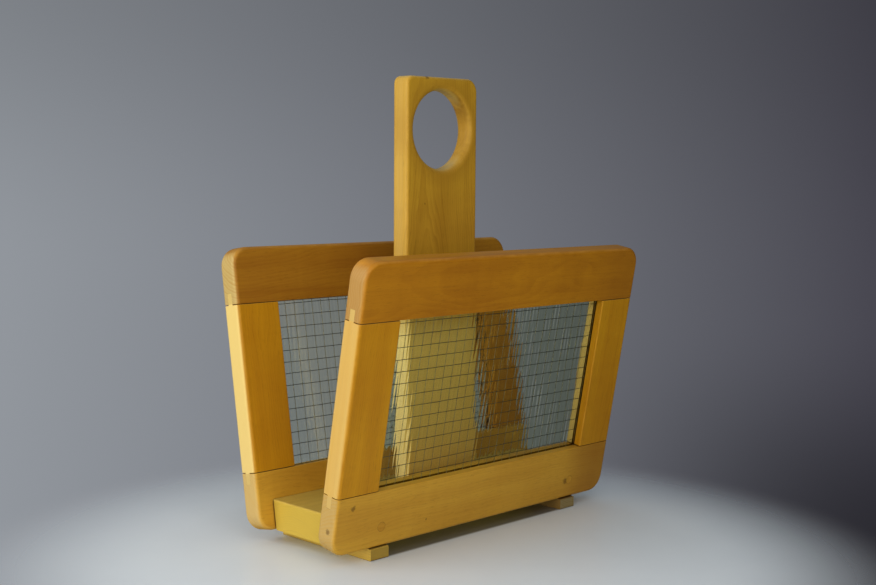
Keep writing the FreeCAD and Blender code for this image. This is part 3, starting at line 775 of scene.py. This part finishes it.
def make_softbox(name, way, distance, size, power, colour):
    """A square light that faces the middle of the rack, out of the camera's sight."""
    target = (cad_low + cad_high) / 2
    place = target + distance * way.normalized()
    light = bpy.data.lights.new(name, "AREA")
    light.shape = "RECTANGLE"
    light.size = size
    light.size_y = size
    light.energy = power
    light.color = colour
    lamp = bpy.data.objects.new(name, light)
    bpy.context.scene.collection.objects.link(lamp)
    lamp.location = place
    lamp.rotation_mode = "QUATERNION"
    lamp.rotation_quaternion = (target - place).to_track_quat("-Z", "Y")
    lamp.visible_camera = False


# what the camera sees directly or straight through the glass
# painted light: the backdrop lighter towards the window on the left
WALL_LEFT, WALL_RIGHT = (0.285, 0.305, 0.335), (0.066, 0.064, 0.082)
WALL_ELSEWHERE = (0.22, 0.23, 0.25)
WALL_SPAN = 0.31                   # sine of the bearing at the picture's left and right edges
WALL_SHADED_THROUGH_GLASS = (0.73, 0.79, 0.69)   # painted shade, the share of the backdrop's light kept where it is seen through the near pane's right part
DIMMED_FROM, DIMMED_TO = 0.042, 0.066   # sines of the bearings between which that part begins

# what lights the rack and shows in its reflections
ROOM_LEFT = (0.27, 0.25, 0.21)
ROOM_RIGHT = (0.06, 0.052, 0.042)
ROOM_FLOOR = (0.48, 0.54, 0.22)
ROOM_CEILING = (0.34, 0.41, 0.47)
BRIGHT_UP_TO = math.radians(48.0)  # bearing, from -Y towards +X, where the room's pale floor ends

WINDOW_WAY = Vector((-0.95, 0.20, 0.30))
WINDOW_DISTANCE, WINDOW_SIZE, WINDOW_POWER = 1.5, 1.3, 14.5
WINDOW_COLOUR = (1.0, 0.97, 0.91)
FILL_WAY = Vector((-0.62, -0.74, 0.26))
FILL_DISTANCE, FILL_SIZE, FILL_POWER = 1.05, 0.9, 5.7
FILL_COLOUR = (1.0, 0.91, 0.78)


def wall_tone(room, way, rightward, upward):
    """A plain grey wall with painted light, lighter on the main camera's left towards the window, and a
    painted shadow darkest in its low right corner. Seen through the glass right of the handle board it has
    painted shade.
    """
    from_left = room.spread(rightward, -WALL_SPAN, WALL_SPAN, smooth=False)
    wall = room.mix(from_left, rgb(*WALL_LEFT), rgb(*WALL_RIGHT))
    tone = room.spread(upward, 0.16, -0.08, 0.70, 1.0)
    corner = room.times(room.spread(rightward, 0.05, 0.30), room.spread(upward, -0.10, -0.26))
    tone = room.times(tone, room.times_add(corner, -0.62, 1.0))
    wall = room.mix(1.0, wall, room.join(tone, tone, tone), blend="MULTIPLY")
    crossed = room.node("ShaderNodeLightPath").outputs["Transmission Depth"]
    shaded_through_glass = room.times(room.math("MINIMUM", crossed, 1.0), room.spread(rightward, DIMMED_FROM, DIMMED_TO))
    wall = room.mix(shaded_through_glass, wall, rgb(*WALL_SHADED_THROUGH_GLASS), blend="MULTIPLY")
    ahead = room.spread(room.vector_math("DOT_PRODUCT", way, tuple(AHEAD)), 0.60, 0.89)
    return room.mix(ahead, rgb(*WALL_ELSEWHERE), wall)


def room_tone(room, way, rightward, upward):
    """A dim warm room, with a pale floor on one side and a cooler ceiling."""
    tone = room.mix(room.spread(rightward, -0.8, 0.8), rgb(*ROOM_LEFT), rgb(*ROOM_RIGHT))
    floor_end = (math.cos(BRIGHT_UP_TO), math.sin(BRIGHT_UP_TO), 0.0)
    past_end = room.vector_math("DOT_PRODUCT", way, floor_end)
    low_down = room.times(room.spread(upward, -0.16, -0.24), room.spread(past_end, 0.03, -0.03))
    tone = room.mix(low_down, tone, rgb(*ROOM_FLOOR))
    return room.mix(room.spread(upward, 0.45, 0.80), tone, rgb(*ROOM_CEILING))


def make_world():
    """The wall for what is seen straight on, the room for everything that lights and reflects."""
    room = Shader(bpy.data.worlds.new("room"))
    way = room.node("ShaderNodeTexCoord").outputs["Generated"]
    rightward = room.vector_math("DOT_PRODUCT", way, tuple(TO_RIGHT))
    upward = room.parts(way)[2]
    path = room.node("ShaderNodeLightPath").outputs
    bounced = room.math("MINIMUM", room.math("ADD", path["Glossy Depth"], path["Diffuse Depth"]), 1.0)
    colour = room.mix(bounced, wall_tone(room, way, rightward, upward),
                      room_tone(room, way, rightward, upward))
    bpy.context.scene.world = room.finish(room.node("ShaderNodeBackground", {"Color": colour}))


def make_stage():
    make_camera()
    make_floor()
    make_world()
    make_softbox("window", WINDOW_WAY, WINDOW_DISTANCE, WINDOW_SIZE, WINDOW_POWER, WINDOW_COLOUR)
    make_softbox("fill", FILL_WAY, FILL_DISTANCE, FILL_SIZE, FILL_POWER, FILL_COLOUR)
    bpy.context.scene.view_settings.view_transform = "Standard"


# ---------------------------------------------------------------- the whole picture

dress_rails()
dress_stiles()
dress_boards()
dress_feet()
dress_plugs()
dress_screws()
for side in (FRONT, REAR):
    make_pane(side)
    make_mesh_wires(side)
make_stage()
